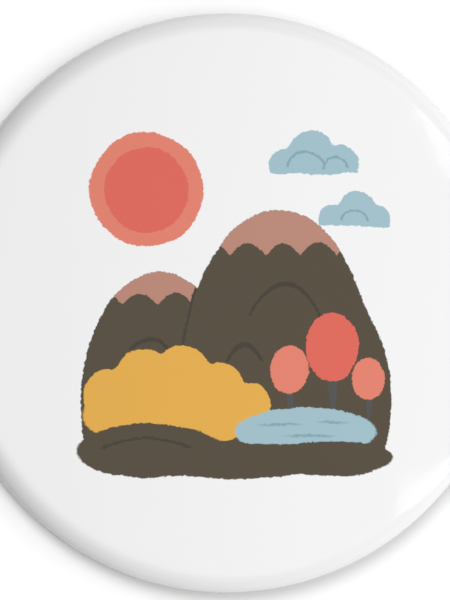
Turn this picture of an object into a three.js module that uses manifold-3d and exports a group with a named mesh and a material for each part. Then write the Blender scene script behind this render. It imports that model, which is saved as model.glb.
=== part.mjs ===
// A round pin-back button badge of the 56 mm size, lying on its back with the printed face up.
// A pressed steel shell carries a paper print under a clear film, and all three are crimped
// round a stamped steel back plate. A spring wire pin lies across the back, held by two
// bridges and a hook that are lanced from the plate.
// Millimetres, +Z up. The origin is on the badge's axis, in the plane of the hem it rests on.
import * as THREE from "three";
import { mergeVertices } from "three/addons/utils/BufferGeometryUtils.js";
import Module from "manifold-3d";

const wasm = await Module();
wasm.setup();

// Overall sizes of the wrapped badge
const BADGE_RADIUS = 28;
const BADGE_HEIGHT = 6.2;
const CROWN_TILT_DEG = 8.5;
const SHOULDER_RADIUS = 2.4;
const HEM_RADIUS = 0.7;
const CURL_RADIUS = 0.62;
const HEM_LAND = 0.3;

// Sheet thicknesses, and the slack that is left between two layers
const FILM_THICKNESS = 0.1;
const PAPER_THICKNESS = 0.12;
const SHELL_THICKNESS = 0.24;
const LAYER_SLACK = 0.02;

// How far up the hem's tuck each layer reaches, under the back plate's flange
const FILM_TUCK_TOP = 1.0;
const SHELL_TUCK_TOP = 0.85;

// Back plate: a raised middle, a groove round it, and a sloped ring out to the flange
const PLATE_THICKNESS = 0.25;
const MIDDLE_HEIGHT = 1.8;
const MIDDLE_RADIUS = 18.8;
const GROOVE_RADIUS = 20.4;
const GROOVE_HEIGHT = 3.0;
const RING_RADIUS = 25.4;
const FLANGE_HEIGHT = 1.05;
const FLANGE_RADIUS = 27.1;
const PLATE_FOLD = 0.3;

// Spring wire: a held leg and a pin leg, joined by a round bend
const WIRE_RADIUS = 0.45;
const LEG_SPREAD = 4.0;
const BEND_X = -16.5;
const PIN_TIP_X = 16.4;
const PIN_POINT_LENGTH = 5.0;
const PIN_POINT_RADIUS = 0.05;
const HELD_LEG_END_X = 10.4;
const HELD_LEG_TAIL_TOP = 3.1;
const TAIL_BEND = 0.9;
const WIRE_CLEARANCE = 0.1;
const PIN_DROP = 0.15;
const ROOT_GAP = 0.25;

// Bridges over the held leg
const BRIDGE_X = [-8.5, 5.5];
const BRIDGE_WIDTH = 2.6;

// Hook over the pin's point, with its mouth towards the held leg
const HOOK_X = [13.2, 17.0];
const HOOK_SIDE_CLEARANCE = 0.12;
const HOOK_PLAY = 0.25;
const HOOK_REACH = 0.05;
const HOOK_BEND = 0.4;
const HOOK_WINDOW = 2.3;

// Facets
const ROUND_SEGMENTS = 48;
const WIRE_SIDES = 10;
const WIRE_STEPS = 40;
const BEND_STEPS = 4;

// Places that follow from the sizes above
const heldLegY = LEG_SPREAD / 2;
const pinLegY = -LEG_SPREAD / 2;
const heldLegZ = MIDDLE_HEIGHT - WIRE_CLEARANCE - WIRE_RADIUS;
const pinLegZ = heldLegZ - PIN_DROP;
const paperDepth = FILM_THICKNESS + LAYER_SLACK;
const shellDepth = paperDepth + PAPER_THICKNESS + LAYER_SLACK;

// Samples of an arc in the (r, z) half-plane, each with its outward normal.
// A tilt of 0 degrees faces up, 90 faces away from the axis, 180 down and 270 to the axis.
function arcSamples(r, z, radius, fromDeg, toDeg, steps) {
  return Array.from({ length: steps + 1 }, (_, i) => {
    const tilt = THREE.MathUtils.degToRad(fromDeg + ((toDeg - fromDeg) * i) / steps);
    const normal = new THREE.Vector2(Math.sin(tilt), Math.cos(tilt));
    return { point: new THREE.Vector2(r, z).addScaledVector(normal, radius), normal };
  });
}

// The badge's outer surface, from the middle of the face round the rim and into the hem's tuck.
function skinSamples(tuckTop) {
  const tilt = THREE.MathUtils.degToRad(CROWN_TILT_DEG);
  const shoulderR = BADGE_RADIUS - SHOULDER_RADIUS;
  const crownRadius = (shoulderR + SHOULDER_RADIUS * Math.sin(tilt)) / Math.sin(tilt);
  const shoulderZ =
    BADGE_HEIGHT - crownRadius + (crownRadius - SHOULDER_RADIUS) * Math.cos(tilt);
  const curlR = BADGE_RADIUS - HEM_RADIUS - HEM_LAND;
  const tuck = {
    point: new THREE.Vector2(curlR - CURL_RADIUS, tuckTop),
    normal: new THREE.Vector2(-1, 0),
  };
  return [
    ...arcSamples(0, BADGE_HEIGHT - crownRadius, crownRadius, 0, CROWN_TILT_DEG, 3),
    ...arcSamples(shoulderR, shoulderZ, SHOULDER_RADIUS, CROWN_TILT_DEG, 90, 6).slice(1),
    ...arcSamples(BADGE_RADIUS - HEM_RADIUS, HEM_RADIUS, HEM_RADIUS, 90, 180, 3),
    ...arcSamples(curlR, CURL_RADIUS, CURL_RADIUS, 180, 270, 3),
    tuck,
  ];
}

// A solid of revolution about +Z from a closed or axis-to-axis profile of (r, z) points.
function turned(profile, segments = ROUND_SEGMENTS) {
  return new THREE.LatheGeometry(profile, segments).rotateX(Math.PI / 2);
}

// One layer of the wrap, between two depths under the outer surface.
function wrapLayer(depth, thickness, tuckTop) {
  const samples = skinSamples(tuckTop);
  const face = (d) => samples.map((s) => s.point.clone().addScaledVector(s.normal, -d));
  const profile = [...face(depth), ...face(depth + thickness).reverse()];
  return turned(profile.reverse());
}

// The same open profile moved sideways by a distance, its corners mitred.
function offsetProfile(points, distance) {
  const sideways = (a, b) => new THREE.Vector2(a.y - b.y, b.x - a.x).normalize();
  return points.map((p, i) => {
    const before = sideways(points[Math.max(i - 1, 0)], points[Math.max(i, 1)]);
    const last = points.length - 1;
    const after = sideways(points[Math.min(i, last - 1)], points[Math.min(i + 1, last)]);
    const mitre = before.clone().add(after).normalize();
    return p.clone().addScaledVector(mitre, distance / mitre.dot(before));
  });
}

// A closed three.js geometry as a solid for joining and cutting.
function solidOf(geometry) {
  const bare = geometry.clone();
  bare.deleteAttribute("normal");
  bare.deleteAttribute("uv");
  const merged = mergeVertices(bare);
  const corners = merged.index.array;
  const kept = [];
  for (let i = 0; i < corners.length; i += 3) {
    const [a, b, c] = corners.slice(i, i + 3);
    if (a !== b && b !== c && c !== a) kept.push(a, b, c);
  }
  return new wasm.Manifold(
    new wasm.Mesh({
      numProp: 3,
      vertProperties: merged.attributes.position.array,
      triVerts: new Uint32Array(kept),
    }),
  );
}

// A solid back as a three.js geometry.
function geometryOf(solid) {
  const mesh = solid.getMesh();
  const geometry = new THREE.BufferGeometry();
  geometry.setAttribute("position", new THREE.BufferAttribute(mesh.vertProperties, 3));
  geometry.setIndex(new THREE.BufferAttribute(mesh.triVerts, 1));
  return geometry;
}

// A box between two corners.
function boxBetween([x0, y0, z0], [x1, y1, z1]) {
  const box = new THREE.BoxGeometry(x1 - x0, y1 - y0, z1 - z0);
  return box.translate((x0 + x1) / 2, (y0 + y1) / 2, (z0 + z1) / 2);
}

// A shape drawn in (y, z), drawn out along X from x0 to x1.
function drawnAlongX(shape, x0, x1) {
  const drawn = new THREE.ExtrudeGeometry(shape, {
    depth: x1 - x0,
    bevelEnabled: false,
    curveSegments: BEND_STEPS,
  });
  const yzToWorld = new THREE.Matrix4().makeBasis(
    new THREE.Vector3(0, 1, 0),
    new THREE.Vector3(0, 0, 1),
    new THREE.Vector3(1, 0, 0),
  );
  return drawn.applyMatrix4(yzToWorld).translate(x0, 0, 0);
}

// The stamped sheet before the wire's holders are lanced from it.
function pressedSheet() {
  const groove = GROOVE_HEIGHT - MIDDLE_HEIGHT;
  const run = GROOVE_RADIUS - MIDDLE_RADIUS;
  const share = PLATE_FOLD / Math.hypot(groove, run);
  const backFace = [
    [0, MIDDLE_HEIGHT],
    [MIDDLE_RADIUS - PLATE_FOLD, MIDDLE_HEIGHT],
    [MIDDLE_RADIUS + run * share, MIDDLE_HEIGHT + groove * share],
    [GROOVE_RADIUS - run * share, GROOVE_HEIGHT - groove * share],
    [GROOVE_RADIUS + PLATE_FOLD, GROOVE_HEIGHT],
    [RING_RADIUS - PLATE_FOLD, FLANGE_HEIGHT + PLATE_FOLD / 3],
    [RING_RADIUS + PLATE_FOLD, FLANGE_HEIGHT],
    [FLANGE_RADIUS, FLANGE_HEIGHT],
  ].map(([r, z]) => new THREE.Vector2(r, z));
  const innerFace = offsetProfile(backFace, PLATE_THICKNESS);
  return turned([...backFace, ...innerFace.reverse()]);
}

// An arch round the held leg, its feet sunk into the sheet.
function bridge(x) {
  const inner = WIRE_RADIUS + WIRE_CLEARANCE;
  const outer = inner + PLATE_THICKNESS;
  const foot = MIDDLE_HEIGHT + PLATE_THICKNESS / 2;
  const arch = new THREE.Shape();
  arch.moveTo(heldLegY + outer, foot);
  arch.lineTo(heldLegY + inner, foot);
  arch.absarc(heldLegY, heldLegZ, inner, 0, -Math.PI, true);
  arch.lineTo(heldLegY - inner, foot);
  arch.lineTo(heldLegY - outer, foot);
  arch.absarc(heldLegY, heldLegZ, outer, -Math.PI, 0, false);
  return drawnAlongX(arch, x - BRIDGE_WIDTH / 2, x + BRIDGE_WIDTH / 2);
}

// The slot that is left in the sheet under a bridge.
function bridgeSlot(x) {
  const half = WIRE_RADIUS + WIRE_CLEARANCE;
  return boxBetween(
    [x - BRIDGE_WIDTH / 2, heldLegY - half, MIDDLE_HEIGHT - PLATE_THICKNESS],
    [x + BRIDGE_WIDTH / 2, heldLegY + half, MIDDLE_HEIGHT + 2 * PLATE_THICKNESS],
  );
}

// Where the hook's wall stands, and how low its lip lies under the pin.
const hookWallY = pinLegY - WIRE_RADIUS - HOOK_SIDE_CLEARANCE;
const hookLipZ = pinLegZ - WIRE_RADIUS - HOOK_PLAY;

// A tongue that stands on the sheet beside the pin and turns over its point.
function hook() {
  const foot = MIDDLE_HEIGHT + PLATE_THICKNESS / 2;
  const lipEndY = pinLegY + HOOK_REACH;
  const bendY = hookWallY + HOOK_BEND;
  const bendZ = hookLipZ + HOOK_BEND;
  const tongue = new THREE.Shape();
  tongue.moveTo(hookWallY, foot);
  tongue.lineTo(hookWallY, bendZ);
  tongue.absarc(bendY, bendZ, HOOK_BEND, -Math.PI, -Math.PI / 2, false);
  tongue.lineTo(lipEndY, hookLipZ);
  tongue.lineTo(lipEndY, hookLipZ - PLATE_THICKNESS);
  tongue.absarc(bendY, bendZ, HOOK_BEND + PLATE_THICKNESS, -Math.PI / 2, -Math.PI, true);
  tongue.lineTo(hookWallY - PLATE_THICKNESS, foot);
  return drawnAlongX(tongue, ...HOOK_X);
}

// The window that the hook's tongue was cut from.
function hookWindow() {
  const edge = hookWallY - PLATE_THICKNESS;
  return boxBetween(
    [HOOK_X[0], edge - HOOK_WINDOW, MIDDLE_HEIGHT - PLATE_THICKNESS],
    [HOOK_X[1], edge, MIDDLE_HEIGHT + 2 * PLATE_THICKNESS],
  );
}

// The hole that the bent tail of the held leg goes through.
function tailHole() {
  const hole = new THREE.CylinderGeometry(
    WIRE_RADIUS + 2 * WIRE_CLEARANCE,
    WIRE_RADIUS + 2 * WIRE_CLEARANCE,
    4 * PLATE_THICKNESS,
    WIRE_SIDES + 2,
  );
  return hole.rotateX(Math.PI / 2).translate(HELD_LEG_END_X, heldLegY, MIDDLE_HEIGHT);
}

// The back plate with its bridges, hook, window and holes.
function backPlate() {
  let plate = solidOf(pressedSheet());
  for (const x of BRIDGE_X) {
    plate = plate.subtract(solidOf(bridgeSlot(x))).add(solidOf(bridge(x)));
  }
  plate = plate.subtract(solidOf(hookWindow())).add(solidOf(hook()));
  return geometryOf(plate.subtract(solidOf(tailHole())));
}

// The bend between the two legs, which drops a little from the held leg to the pin leg.
class LegBend extends THREE.Curve {
  // The bend stops short of the pin leg's round root by the gap that lets the root turn.
  getPoint(t, target = new THREE.Vector3()) {
    const reach = Math.PI - (WIRE_RADIUS + ROOT_GAP) / heldLegY;
    const turn = Math.PI / 2 + reach * t;
    return target.set(
      BEND_X + heldLegY * Math.cos(turn),
      heldLegY * Math.sin(turn),
      THREE.MathUtils.lerp(heldLegZ, pinLegZ, t),
    );
  }
}

// The part of the wire that stays still: its tail through the plate, the held leg and the bend.
function springWire() {
  const corner = new THREE.Vector3(HELD_LEG_END_X, heldLegY, heldLegZ);
  const tailTop = new THREE.Vector3(HELD_LEG_END_X, heldLegY, HELD_LEG_TAIL_TOP);
  const tailFoot = new THREE.Vector3(HELD_LEG_END_X, heldLegY, heldLegZ + TAIL_BEND);
  const legStart = new THREE.Vector3(HELD_LEG_END_X - TAIL_BEND, heldLegY, heldLegZ);
  const legEnd = new THREE.Vector3(BEND_X, heldLegY, heldLegZ);
  const path = new THREE.CurvePath();
  path.add(new THREE.LineCurve3(tailTop, tailFoot));
  path.add(new THREE.QuadraticBezierCurve3(tailFoot, corner, legStart));
  path.add(new THREE.LineCurve3(legStart, legEnd));
  path.add(new LegBend());
  const section = new THREE.Shape();
  section.absarc(0, 0, WIRE_RADIUS, 0, 2 * Math.PI, false);
  return new THREE.ExtrudeGeometry(section, {
    steps: WIRE_STEPS,
    curveSegments: WIRE_SIDES / 2,
    extrudePath: path,
  });
}

// The pin leg, turned about its own line: a round root at the origin and a point along +X.
function pinLeg() {
  const length = PIN_TIP_X - BEND_X;
  const root = [0, 30, 60, 90].map((deg) => {
    const turn = THREE.MathUtils.degToRad(deg);
    return new THREE.Vector2(WIRE_RADIUS * Math.sin(turn), -WIRE_RADIUS * Math.cos(turn));
  });
  const profile = [
    ...root,
    new THREE.Vector2(WIRE_RADIUS, length - PIN_POINT_LENGTH),
    new THREE.Vector2(WIRE_RADIUS * 0.66, length - PIN_POINT_LENGTH / 2),
    new THREE.Vector2(PIN_POINT_RADIUS, length - PIN_POINT_RADIUS),
    new THREE.Vector2(0, length),
  ];
  return new THREE.LatheGeometry(profile, WIRE_SIDES).rotateZ(-Math.PI / 2);
}

// Finishes
const clearFilm = new THREE.MeshStandardMaterial({
  color: 0xf4f6f7,
  roughness: 0.06,
  metalness: 0,
  transparent: true,
  opacity: 0.3,
});
const whitePaper = new THREE.MeshStandardMaterial({ color: 0xf1f1ef, roughness: 0.7 });
const tinplate = new THREE.MeshStandardMaterial({
  color: 0xb9b9b6,
  roughness: 0.3,
  metalness: 1,
});
const darkTinplate = new THREE.MeshStandardMaterial({
  color: 0x9a9a98,
  roughness: 0.35,
  metalness: 1,
});
const springSteel = new THREE.MeshStandardMaterial({
  color: 0xc9c9c6,
  roughness: 0.2,
  metalness: 1,
});

const badge = new THREE.Group();

function addPart(name, geometry, material) {
  const mesh = new THREE.Mesh(geometry, material);
  mesh.name = name;
  badge.add(mesh);
  return mesh;
}

addPart("clear_film", wrapLayer(0, FILM_THICKNESS, FILM_TUCK_TOP), clearFilm);
addPart("print_paper", wrapLayer(paperDepth, PAPER_THICKNESS, FILM_TUCK_TOP), whitePaper);
addPart("front_shell", wrapLayer(shellDepth, SHELL_THICKNESS, SHELL_TUCK_TOP), darkTinplate);
addPart("back_plate", backPlate(), tinplate);
addPart("pin_spring", springWire(), springSteel);
addPart("pin_leg", pinLeg(), springSteel).position.set(BEND_X, pinLegY, pinLegZ);

export default badge;
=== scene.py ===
"""Dresses a packed pin-back button badge: film, print, pressed metal, spring wire and studio.

The badge lies on its back on a pale floor, and the camera looks down on its printed face.
Sizes in the classes are millimetres. They become metres where a mesh, light or camera is made.
"""

import logging
import math
from contextlib import contextmanager
from dataclasses import dataclass
from enum import Enum
from typing import Any, Callable, Iterator, Sequence

import bpy
from mathutils import Matrix, Vector


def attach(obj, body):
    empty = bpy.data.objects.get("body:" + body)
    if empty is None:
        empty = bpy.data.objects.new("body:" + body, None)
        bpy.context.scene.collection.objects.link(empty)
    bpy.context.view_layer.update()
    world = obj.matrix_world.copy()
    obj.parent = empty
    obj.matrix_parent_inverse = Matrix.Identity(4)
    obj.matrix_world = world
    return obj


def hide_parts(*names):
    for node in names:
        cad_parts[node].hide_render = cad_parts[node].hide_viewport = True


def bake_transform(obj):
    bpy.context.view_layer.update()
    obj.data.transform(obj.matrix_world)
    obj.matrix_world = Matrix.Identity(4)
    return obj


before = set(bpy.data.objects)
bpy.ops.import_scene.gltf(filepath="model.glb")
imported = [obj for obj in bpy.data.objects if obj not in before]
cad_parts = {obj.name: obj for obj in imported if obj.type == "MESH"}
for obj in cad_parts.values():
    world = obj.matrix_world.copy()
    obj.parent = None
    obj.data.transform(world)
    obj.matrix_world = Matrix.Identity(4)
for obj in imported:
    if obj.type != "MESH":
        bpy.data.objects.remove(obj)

LOG = logging.getLogger("badge")
MM = 0.001
FLAT = (1.0, 1.0, 0.0)
UPRIGHT_COSINE = 0.9
Triple = tuple[float, float, float]
Rgb = Triple
Value = "Signal | float | Triple"
Piece = bpy.types.Object
Material = bpy.types.Material
UP = Vector((0, 0, 1))


# Shader arithmetic


@dataclass(frozen=True)
class Signal:
    """A number or vector on its way between two shader nodes, for use in Python expressions."""

    board: "Board"
    socket: bpy.types.NodeSocket

    def _join(self, operation: str, *values: Value) -> "Signal":
        """Adds one Math or Vector Math node that works on values."""
        kind = "ShaderNodeMath" if self.socket.type == "VALUE" else "ShaderNodeVectorMath"
        return self.board.via(kind, 0, dict(enumerate(values)), operation=operation)

    def __add__(self, other: Value) -> "Signal":
        """Adds."""
        return self._join("ADD", self, other)

    __radd__ = __add__

    def __sub__(self, other: Value) -> "Signal":
        """Subtracts."""
        return self._join("SUBTRACT", self, other)

    def __rsub__(self, other: "float | Triple") -> "Signal":
        """Subtracts from a constant."""
        return self._join("SUBTRACT", other, self)

    def __mul__(self, other: Value) -> "Signal":
        """Multiplies, a vector part by part."""
        return self._join("MULTIPLY", self, other)

    __rmul__ = __mul__

    def __rtruediv__(self, other: float) -> "Signal":
        """Divides a number."""
        return self._join("DIVIDE", other, self)

    def __abs__(self) -> "Signal":
        """Drops the sign."""
        return self._join("ABSOLUTE", self)

    def least(self, other: "Signal") -> "Signal":
        """Takes the smaller of two numbers."""
        return self._join("MINIMUM", self, other)

    def most(self, other: "Signal") -> "Signal":
        """Takes the larger of two numbers."""
        return self._join("MAXIMUM", self, other)

    def melt(self, other: "Signal", softness: float) -> "Signal":
        """Takes the smaller of two distances, with a round fillet where they cross."""
        return self._join("SMOOTH_MIN", self, other, softness)

    def sine(self) -> "Signal":
        """Takes the sine."""
        return self._join("SINE", self)

    def scaled(self, factor: "Signal | float") -> "Signal":
        """Multiplies a whole vector by one number."""
        inputs = {0: self, "Scale": factor}
        return self.board.via("ShaderNodeVectorMath", 0, inputs, operation="SCALE")

    def part(self, axis: str) -> "Signal":
        """Takes one coordinate of a vector."""
        return self.board.via("ShaderNodeSeparateXYZ", axis, {"Vector": self})

    def length(self) -> "Signal":
        """Measures a vector."""
        return self.board.via("ShaderNodeVectorMath", "Value", {0: self}, operation="LENGTH")

    def along(self, way: Vector) -> "Signal":
        """Measures how far a vector points along a direction of length 1."""
        inputs = {0: self, 1: way}
        return self.board.via("ShaderNodeVectorMath", "Value", inputs, operation="DOT_PRODUCT")

    def ramp(self, low: float, high: float, start: float = 0.0, end: float = 1.0,
             interpolation: str = "LINEAR") -> "Signal":
        """Maps the stretch from low to high to start to end, and holds the ends."""
        inputs = {"Value": self, "From Min": low, "From Max": high, "To Min": start, "To Max": end}
        return self.board.via(
            "ShaderNodeMapRange", "Result", inputs, clamp=True, interpolation_type=interpolation)


class Board:
    """A node tree to which expressions add their nodes."""

    def __init__(self, tree: bpy.types.NodeTree) -> None:
        """Starts on a tree that is already there."""
        self.tree = tree

    def via(self, kind: str, output: str | int, inputs: dict[Any, Any], **settings: Any) -> Signal:
        """Adds a node, first its settings and then the values or links of its sockets.

        Args:
            kind: The node's type.
            output: Its output socket, by name or number.
            inputs: Its sockets by name or number, each with a value or a Signal.
            settings: Its properties.

        Returns:
            What the output socket gives.
        """
        node = self.tree.nodes.new(kind)
        for key, value in settings.items():
            setattr(node, key, value)
        for key, value in inputs.items():
            self.feed(node.inputs[key], value)
        return Signal(self, node.outputs[output])

    def feed(self, socket: bpy.types.NodeSocket, value: Any) -> None:
        """Links a Signal to a socket, or sets the socket to a plain value.

        Args:
            socket: The socket.
            value: The Signal or the plain value.
        """
        if isinstance(value, Signal):
            self.tree.links.new(value.socket, socket)
        else:
            socket.default_value = value

    def noise(self, place: Signal, per_mm: float, detail: float = 2.0,
              roughness: float = 0.5) -> Signal:
        """Samples a cloudy noise from 0 to 1, with a number of lumps to the millimetre."""
        inputs = {"Vector": place, "Scale": per_mm, "Detail": detail, "Roughness": roughness}
        return self.via("ShaderNodeTexNoise", "Fac", inputs)

    def scatter(self, place: Signal, per_mm: float) -> Signal:
        """Samples three noises at once, as a vector with parts from 0 to 1."""
        inputs = {"Vector": place, "Scale": per_mm, "Detail": 1.5}
        return self.via("ShaderNodeTexNoise", "Color", inputs)

    def painted(self, under: Signal | Rgb, over: Signal | Rgb, share: Signal) -> Signal:
        """Lays one colour over another.

        Args:
            under: The colour where share is 0.
            over: The colour where share is 1.
            share: How much of it covers.

        Returns:
            The mixed colour.
        """
        low, high = (c if isinstance(c, Signal) else (*c, 1.0) for c in (under, over))
        inputs = {0: share, 6: low, 7: high}
        return self.via("ShaderNodeMix", 2, inputs, data_type="RGBA")

    def raised(self, height: Signal, distance_mm: float) -> Signal:
        """Turns a height map, in shares of a distance, into a bump for the Normal socket."""
        inputs = {"Height": height, "Strength": 1.0, "Distance": distance_mm * MM}
        return self.via("ShaderNodeBump", "Normal", inputs)


class Coat(Board):
    """The board of one material, with a single Principled shader."""

    def __init__(self, name: str) -> None:
        """Makes a material with a Principled shader.

        Args:
            name: The material's name.
        """
        self.material = bpy.data.materials.new(name)
        self.material.use_nodes = True
        super().__init__(self.material.node_tree)
        self.shader = next(n for n in self.tree.nodes if n.type == "BSDF_PRINCIPLED")

    def shade(self, **sockets: Any) -> Material:
        """Feeds the Principled shader.

        Args:
            sockets: Socket names in lower case with underscores, each with a value or Signal.

        Returns:
            The finished material.
        """
        by_name = {s.name.lower().replace(" ", "_"): s for s in self.shader.inputs}
        for name, value in sockets.items():
            self.feed(by_name[name], value)
        return self.material

    def place(self) -> Signal:
        """Gives the place on the object in millimetres."""
        return self.via("ShaderNodeTexCoord", "Object", {}).scaled(1.0 / MM)


# Finishes


class Ink(Enum):
    """The print's flat colours, as linear light."""

    PAPER = (0.80, 0.80, 0.80)
    TAUPE = (0.056, 0.040, 0.017)
    OCHRE = (0.695, 0.364, 0.043)
    CORAL = (0.650, 0.103, 0.069)
    SALMON = (0.680, 0.181, 0.118)
    SKY = (0.300, 0.457, 0.516)
    SKY_LINE = (0.190, 0.330, 0.390)
    DUSTY_PINK = (0.425, 0.202, 0.145)
    SLATE = (0.052, 0.052, 0.052)
    PEN = (0.028, 0.020, 0.008)


@dataclass
class Drawing:
    """A hand-drawn hill landscape in flat inks, in millimetres from the middle of the face.

    A shape is a Signal that says how far a place lies outside it, below 0 inside.
    """

    board: Board
    place: Signal
    colour: Signal | Rgb = Ink.PAPER.value
    edge_blur: float = 0.04
    clump_softness: float = 0.5
    line_width: float = 0.24

    def ellipse(self, x: float, y: float, radius_x: float, radius_y: float) -> Signal:
        """Shapes an ellipse by its centre and its two radii."""
        fitted = (self.place - (x, y, 0.0)) * (1.0 / radius_x, 1.0 / radius_y, 1.0)
        return (fitted.length() - 1.0) * min(radius_x, radius_y)

    def disc(self, x: float, y: float, radius: float) -> Signal:
        """Shapes a disc."""
        return self.ellipse(x, y, radius, radius)

    def above(self, y: float) -> Signal:
        """Shapes all that lies over a level line."""
        return y - self.place.part("Y")

    def clump(self, *discs: Triple) -> Signal:
        """Melts several discs into one clump.

        Args:
            discs: Each disc's x, y and radius.

        Returns:
            The clump.
        """
        shape = self.disc(*discs[0])
        for other in discs[1:]:
            shape = shape.melt(self.disc(*other), self.clump_softness)
        return shape

    def bow(self, x: float, y: float, radius_x: float, radius_y: float, low_y: float) -> Signal:
        """Shapes a pen line over the top of an ellipse, which ends at low_y on both sides."""
        ring = abs(self.ellipse(x, y, radius_x, radius_y)) - self.line_width / 2
        return ring.most(self.above(low_y))

    def fill(self, ink: Ink, *shapes: Signal) -> None:
        """Fills shapes with an ink over what is there.

        Args:
            ink: The ink.
            shapes: The shapes.
        """
        nearest = shapes[0]
        for shape in shapes[1:]:
            nearest = nearest.least(shape)
        share = nearest.ramp(-self.edge_blur, self.edge_blur, 1.0, 0.0)
        self.colour = self.board.painted(self.colour, ink.value, share)

    def sky(self) -> None:
        """Draws the sun on the left and two clouds on the right."""
        self.fill(Ink.SALMON, self.disc(-8.6, 10.9, 5.5))
        self.fill(Ink.CORAL, self.disc(-8.6, 10.9, 4.1))
        high = self.clump((5.0, 13.2, 1.7), (7.6, 14.4, 2.3), (10.4, 13.4, 1.9))
        low = self.clump((9.6, 8.0, 1.5), (12.0, 8.9, 1.9), (14.0, 8.2, 1.3))
        self.fill(Ink.SKY, high.most(self.above(12.5)), low.most(self.above(7.4)))
        self.fill(Ink.SKY_LINE, self.bow(7.0, 13.0, 1.8, 1.6, 13.2),
                  self.bow(9.9, 12.8, 1.3, 1.3, 13.0), self.bow(11.7, 7.7, 1.3, 1.2, 7.9))

    def mountain(self) -> None:
        """Draws the dark mountain with its pale caps and ridge lines."""
        base = self.above(-14.6)
        teeth = abs((self.place.part("X") * 0.9 + 0.5).sine()) * 1.2
        near_peak = self.ellipse(-7.4, -9.6, 7.6, 12.6).most(base)
        self.fill(Ink.TAUPE, near_peak)
        self.fill(Ink.DUSTY_PINK, (teeth + self.above(-0.2)).most(near_peak))
        far_peak = self.ellipse(4.2, -8.6, 9.6, 17.6)
        far_peak = far_peak.melt(self.ellipse(11.8, -9.4, 3.6, 8.2), 1.6).most(base)
        self.fill(Ink.PEN, (far_peak - self.line_width).most(near_peak))
        self.fill(Ink.TAUPE, far_peak)
        self.fill(Ink.DUSTY_PINK, (teeth + self.above(4.6)).most(far_peak))
        self.fill(Ink.PEN, self.bow(4.8, -5.6, 4.2, 7.4, -1.2),
                  self.bow(0.8, -9.6, 2.4, 5.6, -5.6), self.bow(-8.4, -8.6, 3.0, 5.2, -4.4))

    def meadow(self) -> None:
        """Draws the ochre hedge and the pond in front of it."""
        hedge = self.clump((-12.2, -8.8, 2.5), (-9.0, -7.2, 2.8), (-5.2, -6.9, 2.8),
                           (-1.6, -8.2, 2.5), (1.4, -9.8, 2.1))
        self.fill(Ink.OCHRE, hedge.melt(self.ellipse(-6.2, -10.8, 8.6, 3.2), self.clump_softness))
        self.fill(Ink.SKY, self.ellipse(7.0, -12.4, 7.0, 2.3))
        self.fill(Ink.SKY_LINE, self.ellipse(4.4, -11.7, 1.9, 0.13),
                  self.ellipse(9.6, -11.5, 1.4, 0.13), self.ellipse(7.4, -12.8, 2.3, 0.13))

    def trees(self) -> None:
        """Draws three round trees on the far bank."""
        self.fill(Ink.SLATE, self.ellipse(5.4, -8.4, 0.34, 2.4),
                  self.ellipse(9.6, -7.6, 0.40, 3.2), self.ellipse(13.2, -9.0, 0.32, 2.2))
        self.fill(Ink.SALMON, self.ellipse(5.3, -6.4, 1.9, 2.3), self.ellipse(13.1, -7.3, 1.6, 2.0))
        self.fill(Ink.CORAL, self.ellipse(9.5, -4.2, 2.6, 3.3))

    def bank(self) -> None:
        """Draws the dark near bank."""
        ground = self.ellipse(-8.4, -14.2, 7.0, 2.6)
        for mound in ((0.6, -15.2, 7.0, 1.8), (9.8, -15.0, 5.8, 1.7)):
            ground = ground.melt(self.ellipse(*mound), 1.2)
        self.fill(Ink.TAUPE, ground)
        self.fill(Ink.PEN, self.bow(-8.6, -15.4, 5.2, 2.4, -14.0))

    def finished(self) -> Signal:
        """Draws the whole print on white paper.

        Returns:
            The print's colour.
        """
        for layer in (self.sky, self.mountain, self.trees, self.meadow, self.bank):
            layer()
        return self.colour


@dataclass(frozen=True)
class PrintedFilm:
    """Glossy clear film with the drawing printed under it, puckered where it is gathered."""

    name: str = "printed_film"
    hand_wobble: float = 0.5
    crayon_tooth: float = 0.34
    pucker_radius: float = 27.7
    pucker_height: float = 0.09
    swell: float = 0.06
    ripple: float = 0.002
    gloss: tuple[float, float] = (0.045, 0.07)

    def drawing(self, board: Coat, flat: Signal) -> Signal:
        """Draws the print with the unsteady edges of a crayon.

        Args:
            board: The film's board.
            flat: The place on the face, in millimetres.

        Returns:
            The print's colour.
        """
        wobble = board.scatter(flat, 0.3).scaled(self.hand_wobble)
        tooth = board.scatter(flat, 3.2).scaled(self.crayon_tooth)
        middle = (self.hand_wobble + self.crayon_tooth) / 2
        place = (flat + wobble + tooth) * FLAT - (middle, middle, 0.0)
        return Drawing(board, place).finished()

    def puckers(self, board: Coat, place: Signal, radius: Signal) -> Signal:
        """Gathers the film in fine radial pleats on the hem, where it has too much length.

        Args:
            board: The film's board.
            place: The place in millimetres.
            radius: How far it is from the axis.

        Returns:
            The pleats' height, 0 on the face.
        """
        hem = place.part("Z").ramp(0.9, 2.6, 1.0, 0.0)
        across = place.scaled(1.0 / radius) * (self.pucker_radius, self.pucker_radius, 0.0)
        return board.noise(across, 1.5, detail=3.0) * hem

    def make(self) -> Material:
        """Builds the material.

        Returns:
            The material.
        """
        board = Coat(self.name)
        place = board.place()
        flat = place * FLAT
        pleats = self.puckers(board, place, flat.length())
        swell = board.noise(place, 0.16, detail=1.0) * self.swell
        waves = swell + board.noise(place, 1.4) * self.ripple
        return board.shade(
            base_color=self.drawing(board, flat),
            roughness=board.noise(place, 0.5).ramp(0.3, 0.7, *self.gloss),
            ior=1.5,
            normal=board.raised(pleats * self.pucker_height + waves, 1.0),
        )


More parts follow.
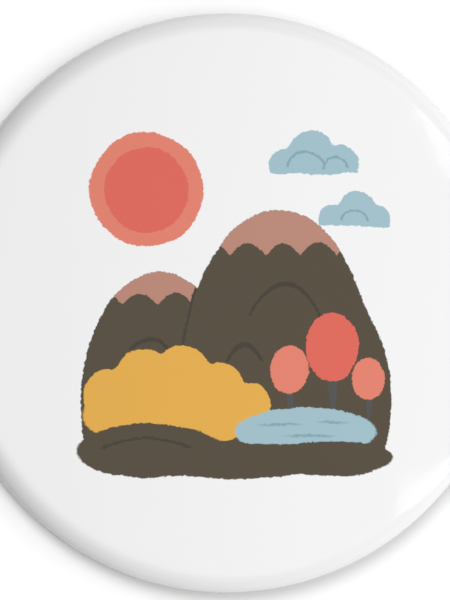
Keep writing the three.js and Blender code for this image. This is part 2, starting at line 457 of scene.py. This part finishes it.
@dataclass(frozen=True)
class WhitePaper:
    """Uncoated white paper with its fibres, seen only at its cut edge."""

    name: str = "white_paper"
    hollow: Rgb = (0.70, 0.69, 0.66)
    fibre: Rgb = (0.80, 0.80, 0.78)

    def make(self) -> Material:
        """Builds the material.

        Returns:
            The material.
        """
        board = Coat(self.name)
        fibres = board.noise(board.place(), 9.0, detail=4.0, roughness=0.7)
        return board.shade(
            base_color=board.painted(self.hollow, self.fibre, fibres.ramp(0.3, 0.6)),
            roughness=0.82,
            normal=board.raised(fibres, 0.02),
        )


@dataclass(frozen=True)
class RolledTinplate:
    """Bright tinplate with a straight rolled grain along Y, with a painted dark reflection on the sloped
    ring.
    """

    name: str = "rolled_tinplate"
    # Dark and bright ends of the grain's streaks, spread wide apart as partly painted reflection.
    dark: Rgb = (0.15, 0.15, 0.15)
    bright: Rgb = (0.92, 0.92, 0.91)
    # Painted dark reflection for the sloped ring, and how much of the grain it covers there.
    painted_reflection_dark: Rgb = (0.045, 0.045, 0.048)
    painted_reflection_share: float = 0.88
    coarse_share: float = 0.55
    smooth_roughness: float = 0.15
    rough_roughness: float = 0.34
    ring_start: tuple[float, float] = (18.8, 20.4)
    ring_end: tuple[float, float] = (25.3, 25.6)

    def make(self) -> Material:
        """Builds the material.

        Returns:
            The material.
        """
        board = Coat(self.name)
        place = board.place()
        radius = (place * FLAT).length()
        # The sloped ring is painted near-black: a painted dark reflection of the surroundings, not the
        # metal's own colour.
        ring = radius.ramp(*self.ring_start) * radius.ramp(*self.ring_end, 1.0, 0.0)
        coarse = board.noise(place * (4.2, 0.12, 0.5), 1.0)
        fine = board.noise(place * (9.0, 0.9, 1.6), 1.0, detail=3.0, roughness=0.7)
        grain = coarse * self.coarse_share + fine * (1.0 - self.coarse_share)
        clouds = board.noise(place, 0.12) - 0.5
        # The rolled grain is real, but the strong dark-to-bright contrast of its streaks is partly
        # painted reflection.
        tone = (grain + clouds * 0.3).ramp(0.41, 0.6)
        grain_and_reflection_streaks = board.painted(self.dark, self.bright, tone)
        return board.shade(
            base_color=board.painted(grain_and_reflection_streaks, self.painted_reflection_dark, ring * self.painted_reflection_share),
            metallic=1.0,
            roughness=grain.ramp(0.35, 0.65, self.smooth_roughness, self.rough_roughness),
            normal=board.raised(grain, 0.04),
        )


@dataclass(frozen=True)
class SpringSteel:
    """Bright plated spring wire with faint draw lines."""

    name: str = "spring_steel"
    dark: Rgb = (0.56, 0.55, 0.53)
    bright: Rgb = (0.80, 0.79, 0.77)

    def make(self) -> Material:
        """Builds the material.

        Returns:
            The material.
        """
        board = Coat(self.name)
        place = board.place()
        lines = board.noise(place * (0.4, 16.0, 16.0), 1.0)
        spots = board.noise(place, 1.1, detail=3.0)
        tone = (lines * 0.5 + spots * 0.5).ramp(0.36, 0.56)
        return board.shade(
            base_color=board.painted(self.dark, self.bright, tone),
            metallic=1.0,
            roughness=lines.ramp(0.3, 0.7, 0.12, 0.26),
            normal=board.raised(lines, 0.004),
        )


@dataclass(frozen=True)
class MattFloor:
    """A plain matt pale floor."""

    name: str = "matt_floor"
    colour: Rgb = (0.80, 0.80, 0.80)

    def make(self) -> Material:
        """Builds the material."""
        board = Coat(self.name)
        return board.shade(base_color=(*self.colour, 1.0), roughness=0.9, specular_ior_level=0.0)


# Modelling


class Bench:
    """The modelling bench: Blender's own tools, used on one piece at a time."""

    SEED = 1e-5
    WELD = 1e-6
    FACETS = 192
    WIRE_RESOLUTION = 10
    EDGE_SEGMENTS = 5
    SHARP_DEG = 35.0

    @staticmethod
    def clear() -> None:
        """Deselects everything, so that a tool works only on what comes next."""
        bpy.ops.object.select_all(action="DESELECT")

    @classmethod
    def hold(cls, piece: Piece) -> None:
        """Selects one piece and makes it the active one.

        Args:
            piece: The piece.
        """
        cls.clear()
        piece.select_set(True)
        bpy.context.view_layer.objects.active = piece

    @classmethod
    @contextmanager
    def editing(cls, piece: Piece) -> Iterator[None]:
        """Opens a piece for editing with all of it selected, and closes it again.

        Args:
            piece: The piece.
        """
        cls.hold(piece)
        bpy.ops.object.mode_set(mode="EDIT")
        bpy.ops.mesh.select_all(action="SELECT")
        yield
        bpy.ops.object.mode_set(mode="OBJECT")

    @staticmethod
    def pull(way: Vector) -> None:
        """Extrudes what is selected, over a way in millimetres."""
        bpy.ops.mesh.extrude_region_move(TRANSFORM_OT_translate={"value": way * MM})

    @classmethod
    def chain(cls, name: str, points: Sequence[Vector]) -> Piece:
        """Draws a chain of edges by extruding one vertex from point to point.

        Args:
            name: The new piece's name.
            points: The chain's points in millimetres.

        Returns:
            The piece.
        """
        cls.clear()
        bpy.ops.mesh.primitive_plane_add(size=cls.SEED, location=points[0] * MM)
        piece = bpy.context.active_object
        piece.name = name
        with cls.editing(piece):
            bpy.ops.mesh.merge(type="CENTER")
            for start, end in zip(points, points[1:]):
                cls.pull(end - start)
        cls.settle(piece)
        return piece

    @classmethod
    def settle(cls, piece: Piece) -> None:
        """Moves a piece's place and turn into its mesh."""
        cls.hold(piece)
        bpy.ops.object.transform_apply(location=True, rotation=True, scale=True)

    @classmethod
    def weld(cls, piece: Piece) -> None:
        """Merges a piece's doubled vertices and turns its faces outwards.

        Args:
            piece: The piece.
        """
        with cls.editing(piece):
            bpy.ops.mesh.remove_doubles(threshold=cls.WELD)
            bpy.ops.mesh.normals_make_consistent(inside=False)

    @classmethod
    def spin(cls, piece: Piece) -> None:
        """Turns a chain about the Z axis into a surface of revolution.

        Args:
            piece: The chain.
        """
        with cls.editing(piece):
            bpy.ops.mesh.spin(steps=cls.FACETS, angle=math.tau, center=(0, 0, 0), axis=(0, 0, 1))
        cls.weld(piece)

    @classmethod
    def face_towards(cls, piece: Piece, place: Vector, way: Vector) -> None:
        """Turns a sheet's faces over if the one nearest a place looks the wrong way.

        Args:
            piece: The sheet.
            place: Where to look, in millimetres.
            way: Where that face should look.
        """
        nearest = min(piece.data.polygons, key=lambda face: (face.center - place * MM).length)
        if nearest.normal.dot(way) <= 0:
            with cls.editing(piece):
                bpy.ops.mesh.flip_normals()

    @classmethod
    def finish_with(cls, piece: Piece, kind: str, **settings: Any) -> None:
        """Adds a modifier and applies it.

        Args:
            piece: The piece.
            kind: The modifier's type.
            settings: Its properties.
        """
        cls.hold(piece)
        modifier = piece.modifiers.new(kind.lower(), kind)
        for key, value in settings.items():
            setattr(modifier, key, value)
        bpy.ops.object.modifier_apply(modifier=modifier.name)

    @classmethod
    def thicken(cls, piece: Piece, thickness: float) -> None:
        """Gives a sheet its wall, on the side that its faces look away from."""
        cls.finish_with(piece, "SOLIDIFY", thickness=thickness * MM, offset=-1.0,
                        use_even_offset=True)

    @classmethod
    def combine(cls, piece: Piece, tool: Piece, operation: str) -> None:
        """Joins or cuts a piece with a tool, by UNION or DIFFERENCE, and deletes the tool."""
        cls.finish_with(piece, "BOOLEAN", object=tool, operation=operation, solver="EXACT")
        bpy.data.objects.remove(tool)

    @classmethod
    def block(cls, low: Vector, high: Vector) -> Piece:
        """Adds a block, as a cutting tool.

        Args:
            low: Its lowest corner.
            high: The opposite corner.

        Returns:
            The block.
        """
        cls.clear()
        bpy.ops.mesh.primitive_cube_add(size=1.0, location=(low + high) / 2 * MM)
        tool = bpy.context.active_object
        bpy.ops.transform.resize(value=(high - low) * MM)
        cls.settle(tool)
        return tool

    @classmethod
    def round_edges(cls, piece: Piece, chosen: Callable[[Vector, Vector], bool],
                    radius: float) -> None:
        """Rounds some of a piece's edges.

        Args:
            piece: The piece.
            chosen: Tells from an edge's two ends in millimetres whether it is rounded.
            radius: The rounding's radius.
        """
        with cls.editing(piece):
            bpy.ops.mesh.select_mode(type="EDGE")
            bpy.ops.mesh.select_all(action="DESELECT")
        places = [vertex.co / MM for vertex in piece.data.vertices]
        for edge in piece.data.edges:
            edge.select = chosen(*(places[i] for i in edge.vertices))
        bpy.ops.object.mode_set(mode="EDIT")
        bpy.ops.mesh.bevel(offset=radius * MM, segments=cls.EDGE_SEGMENTS, affect="EDGES")
        bpy.ops.mesh.select_mode(type="VERT")
        bpy.ops.object.mode_set(mode="OBJECT")

    @classmethod
    def wire(cls, name: str, path: Sequence[Vector], radius: Callable[[Vector], float]) -> Piece:
        """Draws a round wire along a path.

        Args:
            name: The new piece's name.
            path: The path's points in millimetres.
            radius: Gives the wire's radius at one of them.

        Returns:
            The closed wire.
        """
        cls.hold(cls.chain(name, path))
        bpy.ops.object.convert(target="CURVE")
        curve = bpy.context.active_object.data
        curve.bevel_depth = MM
        curve.bevel_resolution = cls.WIRE_RESOLUTION
        curve.use_fill_caps = True
        for point in curve.splines[0].points:
            point.radius = radius(point.co.to_3d() / MM)
        bpy.ops.object.convert(target="MESH")
        piece = bpy.context.active_object
        cls.weld(piece)
        return piece

    @classmethod
    def dress(cls, piece: Piece, material: Material) -> None:
        """Shades a piece smooth between its sharp edges, gives it its only material and logs it.

        Args:
            piece: The piece.
            material: The material.
        """
        cls.hold(piece)
        bpy.ops.object.shade_smooth_by_angle(angle=math.radians(cls.SHARP_DEG))
        piece.data.materials.clear()
        piece.data.materials.append(material)
        LOG.info("%s: %d faces", piece.name, len(piece.data.polygons))


def folded(corners: Sequence[Vector], radius: float, steps: int) -> list[Vector]:
    """Rounds the inner corners of a path.

    Args:
        corners: The path's corners.
        radius: How far before and after a corner its bend starts and ends.
        steps: How many pieces a bend has.

    Returns:
        The rounded path.
    """
    path = [corners[0]]
    for before, corner, after in zip(corners, corners[1:], corners[2:]):
        start = corner + (before - corner).normalized() * radius
        end = corner + (after - corner).normalized() * radius
        for i in range(steps + 1):
            t = i / steps
            path.append(start.lerp(corner, t).lerp(corner.lerp(end, t), t))
    path.append(corners[-1])
    return path


def stepped(path: Sequence[Vector], longest: float) -> list[Vector]:
    """Cuts the long straights of a path into even steps.

    Args:
        path: The path.
        longest: The longest step that is left.

    Returns:
        The path with more points.
    """
    steps = [path[0]]
    for start, end in zip(path, path[1:]):
        count = max(math.ceil((end - start).length / longest), 1)
        steps.extend(start.lerp(end, i / count) for i in range(1, count + 1))
    return steps


def arc(centre: Vector, radius: float, from_deg: float, to_deg: float, steps: int) -> list[Vector]:
    """Draws an arc in the XZ plane: tilt 0 faces up, 90 outwards, 180 down and 270 inwards."""
    tilts = [math.radians(from_deg + (to_deg - from_deg) * i / steps) for i in range(steps + 1)]
    return [centre + Vector((math.sin(t), 0.0, math.cos(t))) * radius for t in tilts]


def is_upright(start: Vector, end: Vector) -> bool:
    """Tells whether an edge runs nearly straight up."""
    return abs((end - start).normalized().z) > UPRIGHT_COSINE


# The wrap


@dataclass(frozen=True)
class WrapShape:
    """The badge's outer surface, which film, paper and shell follow at their own depths."""

    rim_radius: float = 28.0
    height: float = 6.2
    crown_tilt_deg: float = 8.5
    shoulder_radius: float = 2.4
    hem_radius: float = 0.7
    curl_radius: float = 0.62
    hem_land: float = 0.3
    face_steps: int = 24
    hem_steps: int = 8

    def profile(self, depth: float, tuck_top: float) -> list[Vector]:
        """Draws the half section from the middle of the crown to the end of the hem's tuck.

        Args:
            depth: How far under the outer surface it runs.
            tuck_top: How far up the tuck it reaches.

        Returns:
            The section's points.
        """
        tilt = math.radians(self.crown_tilt_deg)
        shoulder_r = self.rim_radius - self.shoulder_radius
        crown = shoulder_r / math.sin(tilt) + self.shoulder_radius
        crown_centre = Vector((0.0, 0.0, self.height - crown))
        rise = (crown - self.shoulder_radius) * math.cos(tilt)
        shoulder_centre = crown_centre + Vector((shoulder_r, 0.0, rise))
        hem_centre = Vector((self.rim_radius - self.hem_radius, 0.0, self.hem_radius))
        curl_r = self.rim_radius - self.hem_radius - self.hem_land
        curl_centre = Vector((curl_r, 0.0, self.curl_radius))
        return [
            *arc(crown_centre, crown - depth, 0.0, self.crown_tilt_deg, self.face_steps),
            *arc(shoulder_centre, self.shoulder_radius - depth, self.crown_tilt_deg, 90.0,
                 self.face_steps)[1:],
            *arc(hem_centre, self.hem_radius - depth, 90.0, 180.0, self.hem_steps),
            *arc(curl_centre, self.curl_radius - depth, 180.0, 270.0, self.hem_steps),
            Vector((curl_r - self.curl_radius + depth, 0.0, tuck_top)),
        ]


@dataclass
class WrapLayer:
    """One layer of the wrap."""

    name: str
    node: str
    depth: float
    thickness: float
    tuck_top: float
    material: Material

    def build(self, shape: WrapShape) -> Piece:
        """Models the layer, dresses it and puts it in its node's place.

        Args:
            shape: The badge's outer surface.

        Returns:
            The layer.
        """
        piece = Bench.chain(self.name, shape.profile(self.depth, self.tuck_top))
        Bench.spin(piece)
        Bench.face_towards(piece, Vector((0.0, 0.0, shape.height)), UP)
        Bench.thicken(piece, self.thickness)
        Bench.dress(piece, self.material)
        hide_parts(self.node)
        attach(piece, "badge")
        return piece


@dataclass
class Wrap:
    """Film, paper and shell, crimped together round the back plate."""

    shape: WrapShape = WrapShape()
    film_thickness: float = 0.1
    paper_thickness: float = 0.12
    shell_thickness: float = 0.24
    slack: float = 0.02
    film_tuck_top: float = 1.0
    shell_tuck_top: float = 0.85

    def build(self) -> None:
        """Builds the three layers from the outside in."""
        paper_depth = self.film_thickness + self.slack
        shell_depth = paper_depth + self.paper_thickness + self.slack
        film = WrapLayer("film_skin", "clear_film", 0.0, self.film_thickness,
                         self.film_tuck_top, PrintedFilm().make())
        paper = WrapLayer("paper_layer", "print_paper", paper_depth, self.paper_thickness,
                          self.film_tuck_top, WhitePaper().make())
        shell = WrapLayer("shell_pressing", "front_shell", shell_depth, self.shell_thickness,
                          self.shell_tuck_top, RolledTinplate("shell_tinplate").make())
        for layer, slot in ((film, "clear_film"), (paper, "print_paper"), (shell, "shell_metal")):
            layer.build(self.shape)


# The back


@dataclass
class BackPlate:
    """The stamped plate, with the bridges and the hook that are lanced from it."""

    wire: "SpringPin"
    thickness: float = 0.25
    middle_height: float = 1.8
    middle_radius: float = 18.8
    groove_radius: float = 20.4
    groove_height: float = 3.0
    ring_radius: float = 25.4
    flange_radius: float = 27.1
    flange_height: float = 1.05
    fold: float = 0.35
    bridge_xs: tuple[float, float] = (-8.5, 5.5)
    bridge_width: float = 2.6
    hook_x: tuple[float, float] = (13.2, 17.0)
    hook_side_clearance: float = 0.12
    hook_play: float = 0.25
    hook_reach: float = 0.05
    hook_bend: float = 0.4
    lip_corner: float = 0.5
    window_width: float = 2.3
    window_corner: float = 0.35
    lance_fold: float = 0.18
    sunk: float = 0.004
    cut_depth: float = 1.0
    longest_step: float = 2.0
    fold_steps: int = 5
    lance_steps: int = 4
    hook_steps: int = 8
    arch_steps: int = 16

    def sheet(self) -> Piece:
        """Presses the sheet before anything is lanced from it.

        Returns:
            The sheet with its wall.
        """
        corners = [
            Vector((0.0, 0.0, self.middle_height)),
            Vector((self.middle_radius, 0.0, self.middle_height)),
            Vector((self.groove_radius, 0.0, self.groove_height)),
            Vector((self.ring_radius, 0.0, self.flange_height)),
            Vector((self.flange_radius, 0.0, self.flange_height)),
        ]
        path = stepped(folded(corners, self.fold, self.fold_steps), self.longest_step)
        piece = Bench.chain("back_plate_pressing", path)
        Bench.spin(piece)
        Bench.face_towards(piece, corners[0], -UP)
        Bench.thicken(piece, self.thickness)
        return piece

    def strip(self, section: Sequence[Vector], x_from: float, x_to: float, place: Vector,
              way: Vector) -> Piece:
        """Draws a lanced strip out of its section and gives it its wall.

        Args:
            section: The strip's section at x = 0, already rounded.
            x_from: Where the strip starts.
            x_to: Where it ends.
            place: A place on it.
            way: Where its face looks there, away from the wall.

        Returns:
            The strip, a little thinner than the sheet, so that its feet lie within it.
        """
        start = Vector((x_from, 0.0, 0.0))
        piece = Bench.chain("strip", [start + corner for corner in section])
        with Bench.editing(piece):
            Bench.pull(Vector((x_to - x_from, 0.0, 0.0)))
            bpy.ops.mesh.select_all(action="SELECT")
            bpy.ops.mesh.normals_make_consistent(inside=False)
        Bench.face_towards(piece, place, way)
        Bench.thicken(piece, self.thickness - 2.0 * self.sunk)
        return piece

    def bridge(self, x: float) -> Piece:
        """Bends the arch that holds the held leg, its feet running out into the sheet.

        Args:
            x: The middle of the arch.

        Returns:
            The arch.
        """
        inner = self.wire.radius + self.wire.clearance
        centre = Vector((0.0, self.wire.held_y, self.wire.held_z))
        foot_z = self.middle_height + self.sunk
        turn = [math.radians(180.0 * i / self.arch_steps) for i in range(self.arch_steps + 1)]
        outer = inner + self.thickness
        crown = [centre + Vector((0.0, math.cos(t), -math.sin(t))) * outer for t in turn]
        near = Vector((0.0, self.wire.held_y + outer, foot_z))
        far = Vector((0.0, self.wire.held_y - outer, foot_z))
        tab = Vector((0.0, 2.0 * self.thickness, 0.0))
        near_foot = folded([near + tab, near, crown[0]], self.lance_fold, self.lance_steps)
        far_foot = folded([crown[-1], far, far - tab], self.lance_fold, self.lance_steps)
        section = [*near_foot[:-1], *crown, *far_foot[1:]]
        half = self.bridge_width / 2
        top = crown[self.arch_steps // 2] + Vector((x, 0.0, 0.0))
        return self.strip(section, x - half, x + half, top, -UP)

    def bridge_slot(self, x: float) -> Piece:
        """Shapes what a bridge leaves open in the sheet.

        Args:
            x: The middle of the bridge.

        Returns:
            The cutting tool.
        """
        half = Vector((self.bridge_width / 2, self.wire.radius + self.wire.clearance, self.cut_depth))
        middle = Vector((x, self.wire.held_y, self.middle_height))
        return Bench.block(middle - half, middle + half)

    def hook_wall_y(self) -> float:
        """Gives the place of the hook's wall beside the pin."""
        return self.wire.pin_y - self.wire.radius - self.hook_side_clearance

    def hook(self) -> Piece:
        """Bends the tongue that stands beside the pin and turns over its point.

        Returns:
            The hook.
        """
        wall_y = self.hook_wall_y()
        lip_z = self.wire.pin_z - self.wire.radius - self.hook_play
        foot_z = self.middle_height + self.sunk
        lip_end = Vector((0.0, self.wire.pin_y + self.hook_reach, lip_z))
        corner = Vector((0.0, wall_y, lip_z))
        foot = Vector((0.0, wall_y, foot_z))
        tab_end = foot + Vector((0.0, 2.0 * self.thickness, 0.0))
        bent = folded([foot, corner, lip_end], self.hook_bend, self.hook_steps)
        root = folded([tab_end, foot, bent[1]], self.lance_fold, self.lance_steps)
        section = [*root[:-1], *bent[1:]]
        centre = Vector((sum(self.hook_x) / 2, wall_y, self.wire.pin_z))
        piece = self.strip(section, *self.hook_x, centre, Vector((0, 1, 0)))
        Bench.round_edges(piece, lambda a, b: self.is_lip_corner(a, b, lip_end.y), self.lip_corner)
        return piece

    def is_lip_corner(self, start: Vector, end: Vector, lip_y: float) -> bool:
        """Tells whether an edge is one of the two upright ones at the lip's free end."""
        outer = min(start.y, end.y) > lip_y - self.thickness / 4
        return is_upright(start, end) and outer and max(start.z, end.z) < self.middle_height / 2

    def hook_window(self) -> Piece:
        """Shapes the window that the hook's tongue leaves in the sheet.

        Returns:
            The cutting tool, with its far corners rounded.
        """
        near_y = self.hook_wall_y() + self.lance_fold
        far_y = self.hook_wall_y() - self.thickness - self.window_width
        tool = Bench.block(Vector((self.hook_x[0], far_y, self.middle_height - self.cut_depth)),
                           Vector((self.hook_x[1], near_y, self.middle_height + self.cut_depth)))
        middle_y = (near_y + far_y) / 2
        Bench.round_edges(tool, lambda a, b: is_upright(a, b) and a.y < middle_y, self.window_corner)
        return tool

    def build(self) -> None:
        """Models the plate, dresses it and puts it in its node's place."""
        piece = self.sheet()
        for x in self.bridge_xs:
            Bench.combine(piece, self.bridge_slot(x), "DIFFERENCE")
        Bench.combine(piece, self.hook_window(), "DIFFERENCE")
        Bench.combine(piece, self.wire.tail_hole(self.middle_height), "DIFFERENCE")
        for x in self.bridge_xs:
            Bench.combine(piece, self.bridge(x), "UNION")
        Bench.combine(piece, self.hook(), "UNION")
        Bench.dress(piece, RolledTinplate().make())
        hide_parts("back_plate")
        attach(piece, "badge")


@dataclass
class SpringPin:
    """The bent spring wire: a tail through the plate, a held leg, a round bend and the pin."""

    radius: float = 0.45
    clearance: float = 0.1
    held_y: float = 2.0
    held_z: float = 1.25
    pin_y: float = -2.0
    pin_z: float = 1.1
    bend_x: float = -16.5
    tail_x: float = 10.4
    tail_top: float = 3.1
    tail_bend: float = 0.9
    tip_x: float = 16.4
    point_length: float = 5.0
    cone: float = 0.1
    seam_deg: float = 120.0
    seam_lead: float = 0.02
    hole_length: float = 2.0
    hole_sides: int = 32
    bend_step_deg: float = 5.0
    tail_steps: int = 8
    root_steps: int = 8

    def on_bend(self, turn_deg: float) -> tuple[Vector, Vector]:
        """Finds a place on the bend.

        Args:
            turn_deg: How far round it is, from 0 at the held leg to 180 at the pin.

        Returns:
            The place and the way the wire runs there.
        """
        turn = math.radians(turn_deg)
        drop = (self.pin_z - self.held_z) / math.pi
        place = Vector((self.bend_x - self.held_y * math.sin(turn), self.held_y * math.cos(turn),
                        self.held_z + drop * turn))
        way = Vector((-self.held_y * math.cos(turn), -self.held_y * math.sin(turn), drop))
        return place, way.normalized()

    def bend(self, from_deg: float, to_deg: float) -> list[Vector]:
        """Draws a stretch of the bend, with a short straight lead at both of its ends.

        Args:
            from_deg: How far round it starts.
            to_deg: How far round it ends.

        Returns:
            The stretch.
        """
        steps = round((to_deg - from_deg) / self.bend_step_deg)
        turns = [from_deg + (to_deg - from_deg) * i / steps for i in range(steps + 1)]
        first, first_way = self.on_bend(from_deg)
        last, last_way = self.on_bend(to_deg)
        middle = [self.on_bend(turn)[0] for turn in turns[1:-1]]
        return [first, first + first_way * self.seam_lead, *middle,
                last - last_way * self.seam_lead, last]

    def held_path(self) -> list[Vector]:
        """Draws the wire from its tail to the seam in the bend.

        Returns:
            The wire's path.
        """
        corner = Vector((self.tail_x, self.held_y, self.held_z))
        top = Vector((self.tail_x, self.held_y, self.tail_top))
        leg_end = Vector((self.bend_x, self.held_y, self.held_z))
        start = folded([top, corner, leg_end], self.tail_bend, self.tail_steps)
        return [*start[:-1], *self.bend(0.0, self.seam_deg)]

    def hinge(self) -> Vector:
        """Gives the place where the bend ends and the pin starts, about which the pin turns."""
        return Vector((self.bend_x, self.pin_y, self.pin_z))

    def give(self) -> Vector:
        """Gives half the stretch that bends as the pin opens, from the seam to the hinge."""
        seam = self.on_bend(self.seam_deg)[0]
        return Vector((self.bend_x - seam.x - self.radius, 0.0, 0.0))

    def pin_path(self) -> list[Vector]:
        """Draws the wire from the seam to the pin's point, with fine steps where it bends.

        Returns:
            The wire's path.
        """
        steps = range(1, self.root_steps + 1)
        root = [self.hinge() + self.give() * (i / self.root_steps) for i in steps]
        tip = Vector((self.tip_x, self.pin_y, self.pin_z))
        shares = (1.0, 0.9, 0.8, 0.7, 0.6, 0.5, 0.4, 0.3, 0.2, 0.1, 0.05, 0.02, 0.0)
        point = [tip - Vector((self.point_length * share, 0.0, 0.0)) for share in shares]
        return [*self.bend(self.seam_deg, 180.0), *root, *point]

    def wire_radius(self, place: Vector) -> float:
        """Gives the wire's radius at a place, which falls along the ground point."""
        share = min(max((self.tip_x - place.x) / self.point_length, 0.0), 1.0)
        return self.radius * (math.sqrt(share * (2.0 - share)) * (1.0 - self.cone) + share * self.cone)

    def tail_hole(self, height: float) -> Piece:
        """Shapes the hole that the tail goes through.

        Args:
            height: The sheet's height.

        Returns:
            The cutting tool.
        """
        Bench.clear()
        bpy.ops.mesh.primitive_cylinder_add(
            vertices=self.hole_sides, radius=(self.radius + 2 * self.clearance) * MM,
            depth=self.hole_length * MM, location=Vector((self.tail_x, self.held_y, height)) * MM)
        tool = bpy.context.active_object
        Bench.settle(tool)
        return tool

    def build(self) -> None:
        """Models both lengths of the wire, which meet in the bend, and dresses them."""
        steel = SpringSteel().make()
        held = Bench.wire("spring_wire", self.held_path(), self.wire_radius)
        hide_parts("pin_spring")
        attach(held, "badge")
        pin = Bench.wire("pin_wire", self.pin_path(), self.wire_radius)
        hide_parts("pin_leg")
        start = self.hinge() - self.give()
        end = self.hinge() + self.give()
        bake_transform(pin)
        for piece in (held, pin):
            Bench.dress(piece, steel)


# The studio


def heading(azimuth_deg: float, zenith_deg: float) -> Vector:
    """Gives the direction at an azimuth from X towards Y and an angle from straight up."""
    azimuth, zenith = math.radians(azimuth_deg), math.radians(zenith_deg)
    return Vector((math.cos(azimuth), math.sin(azimuth), 0.0)) * math.sin(zenith) + UP * math.cos(zenith)


class Lit(Enum):
    """What a lamp lights, as the floor's state among what receives its light."""

    BADGE = "EXCLUDE"
    FLOOR = "INCLUDE"


@dataclass
class SoftBox:
    """An oval soft light; its sizes are in metres."""

    name: str
    azimuth_deg: float
    zenith_deg: float
    width: float
    height: float
    radiance: float
    lit: Lit
    distance: float = 1.0

    def hang(self, floor: Piece) -> None:
        """Hangs the light so that it faces the badge, and keeps it to the badge or the floor.

        Args:
            floor: The floor.
        """
        way = heading(self.azimuth_deg, self.zenith_deg)
        data = bpy.data.lights.new(self.name, "AREA")
        data.shape = "ELLIPSE"
        data.size = self.width
        data.size_y = self.height
        data.energy = self.radiance * math.pi * math.pi * self.width * self.height / 4.0
        lamp = bpy.data.objects.new(self.name, data)
        bpy.context.scene.collection.objects.link(lamp)
        lamp.location = way * self.distance
        lamp.rotation_euler = way.to_track_quat("Z", "Y").to_euler()
        receivers = bpy.data.collections.new(self.name + "_receivers")
        receivers.objects.link(floor)
        receivers.collection_objects[0].light_linking.link_state = self.lit.value
        lamp.light_linking.receiver_collection = receivers


@dataclass
class Studio:
    """Floor, lights and camera."""

    tilt_deg: float = 10.0
    lens: float = 600.0
    sensor: float = 36.0
    frame_height: float = 57.93
    aim: Vector = Vector((-0.49, 0.29, 3.0))
    floor_radius: float = 2500.0
    floor_bend: float = 700.0
    wall_height: float = 2500.0
    sky_radiance: float = 1.08
    sky_azimuth_deg: float = 2.0
    sky_zenith_deg: float = 40.8
    sky_edge: tuple[float, float] = (-0.2, -0.01)
    floor_steps: int = 16
    clip: tuple[float, float] = (0.01, 20.0)

    def floor(self) -> Piece:
        """Lays the pale floor, which curves up into a backdrop all round.

        It is mirrored in the badge but throws no soft light on it, so that the even sky lights the
        badge from every side.

        Returns:
            The floor.
        """
        corner = Vector((self.floor_radius, 0.0, 0.0))
        top = corner + Vector((0.0, 0.0, self.wall_height))
        path = folded([Vector(), corner, top], self.floor_bend, self.floor_steps)
        floor = Bench.chain("floor", path)
        Bench.spin(floor)
        Bench.face_towards(floor, Vector(), UP)
        Bench.dress(floor, MattFloor().make())
        floor.visible_diffuse = False
        floor.visible_shadow = False
        return floor

    def camera(self) -> None:
        """Places the camera over the badge, a little to its left."""
        data = bpy.data.cameras.new("camera")
        data.lens = self.lens
        data.sensor_width = self.sensor
        data.clip_start, data.clip_end = self.clip
        camera = bpy.data.objects.new("camera", data)
        bpy.context.scene.collection.objects.link(camera)
        tilt = math.radians(self.tilt_deg)
        distance = self.lens * self.frame_height / self.sensor
        back = Vector((-math.sin(tilt), 0.0, math.cos(tilt)))
        right = Vector((math.cos(tilt), 0.0, math.sin(tilt)))
        camera.location = (self.aim + back * distance) * MM
        camera.rotation_euler = Matrix((right, back.cross(right), back)).transposed().to_euler()
        bpy.context.scene.camera = camera

    def lights(self, floor: Piece) -> None:
        """Sets the sky, even but for a dark side, two softboxes and a lamp for the floor's shadow.

        The badge gets its highlights from the softboxes on the right, and the floor gets its
        light from over the badge's upper left, so that the shadow lies under the lower edge.

        Args:
            floor: The floor.
        """
        world = bpy.data.worlds.new("studio")
        world.use_nodes = True
        board = Board(world.node_tree)
        sky = world.node_tree.nodes["Background"]
        way = board.via("ShaderNodeTexCoord", "Generated", {})
        facing = way.along(heading(self.sky_azimuth_deg, self.sky_zenith_deg))
        board.feed(sky.inputs["Color"], (1.0, 1.0, 1.0, 1.0))
        strength = facing.ramp(*self.sky_edge, 0.0, self.sky_radiance, "SMOOTHSTEP")
        board.feed(sky.inputs["Strength"], strength)
        bpy.context.scene.world = world
        bpy.context.scene.view_settings.view_transform = "Standard"
        for lamp in (SoftBox("near_softbox", -30.0, 53.0, 0.26, 1.0, 1.9, Lit.BADGE),
                     SoftBox("far_softbox", 23.0, 41.0, 0.225, 0.5, 1.9, Lit.BADGE),
                     SoftBox("floor_lamp", 122.0, 27.0, 0.5, 0.5, 7.1, Lit.FLOOR)):
            lamp.hang(floor)


def main() -> None:
    """Builds the badge and the studio, in order."""
    logging.basicConfig(level=logging.INFO, format="%(message)s")
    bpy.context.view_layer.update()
    wire = SpringPin()
    Wrap().build()
    BackPlate(wire).build()
    wire.build()
    studio = Studio()
    floor = studio.floor()
    studio.camera()
    studio.lights(floor)


if __name__ == "__main__":
    main()
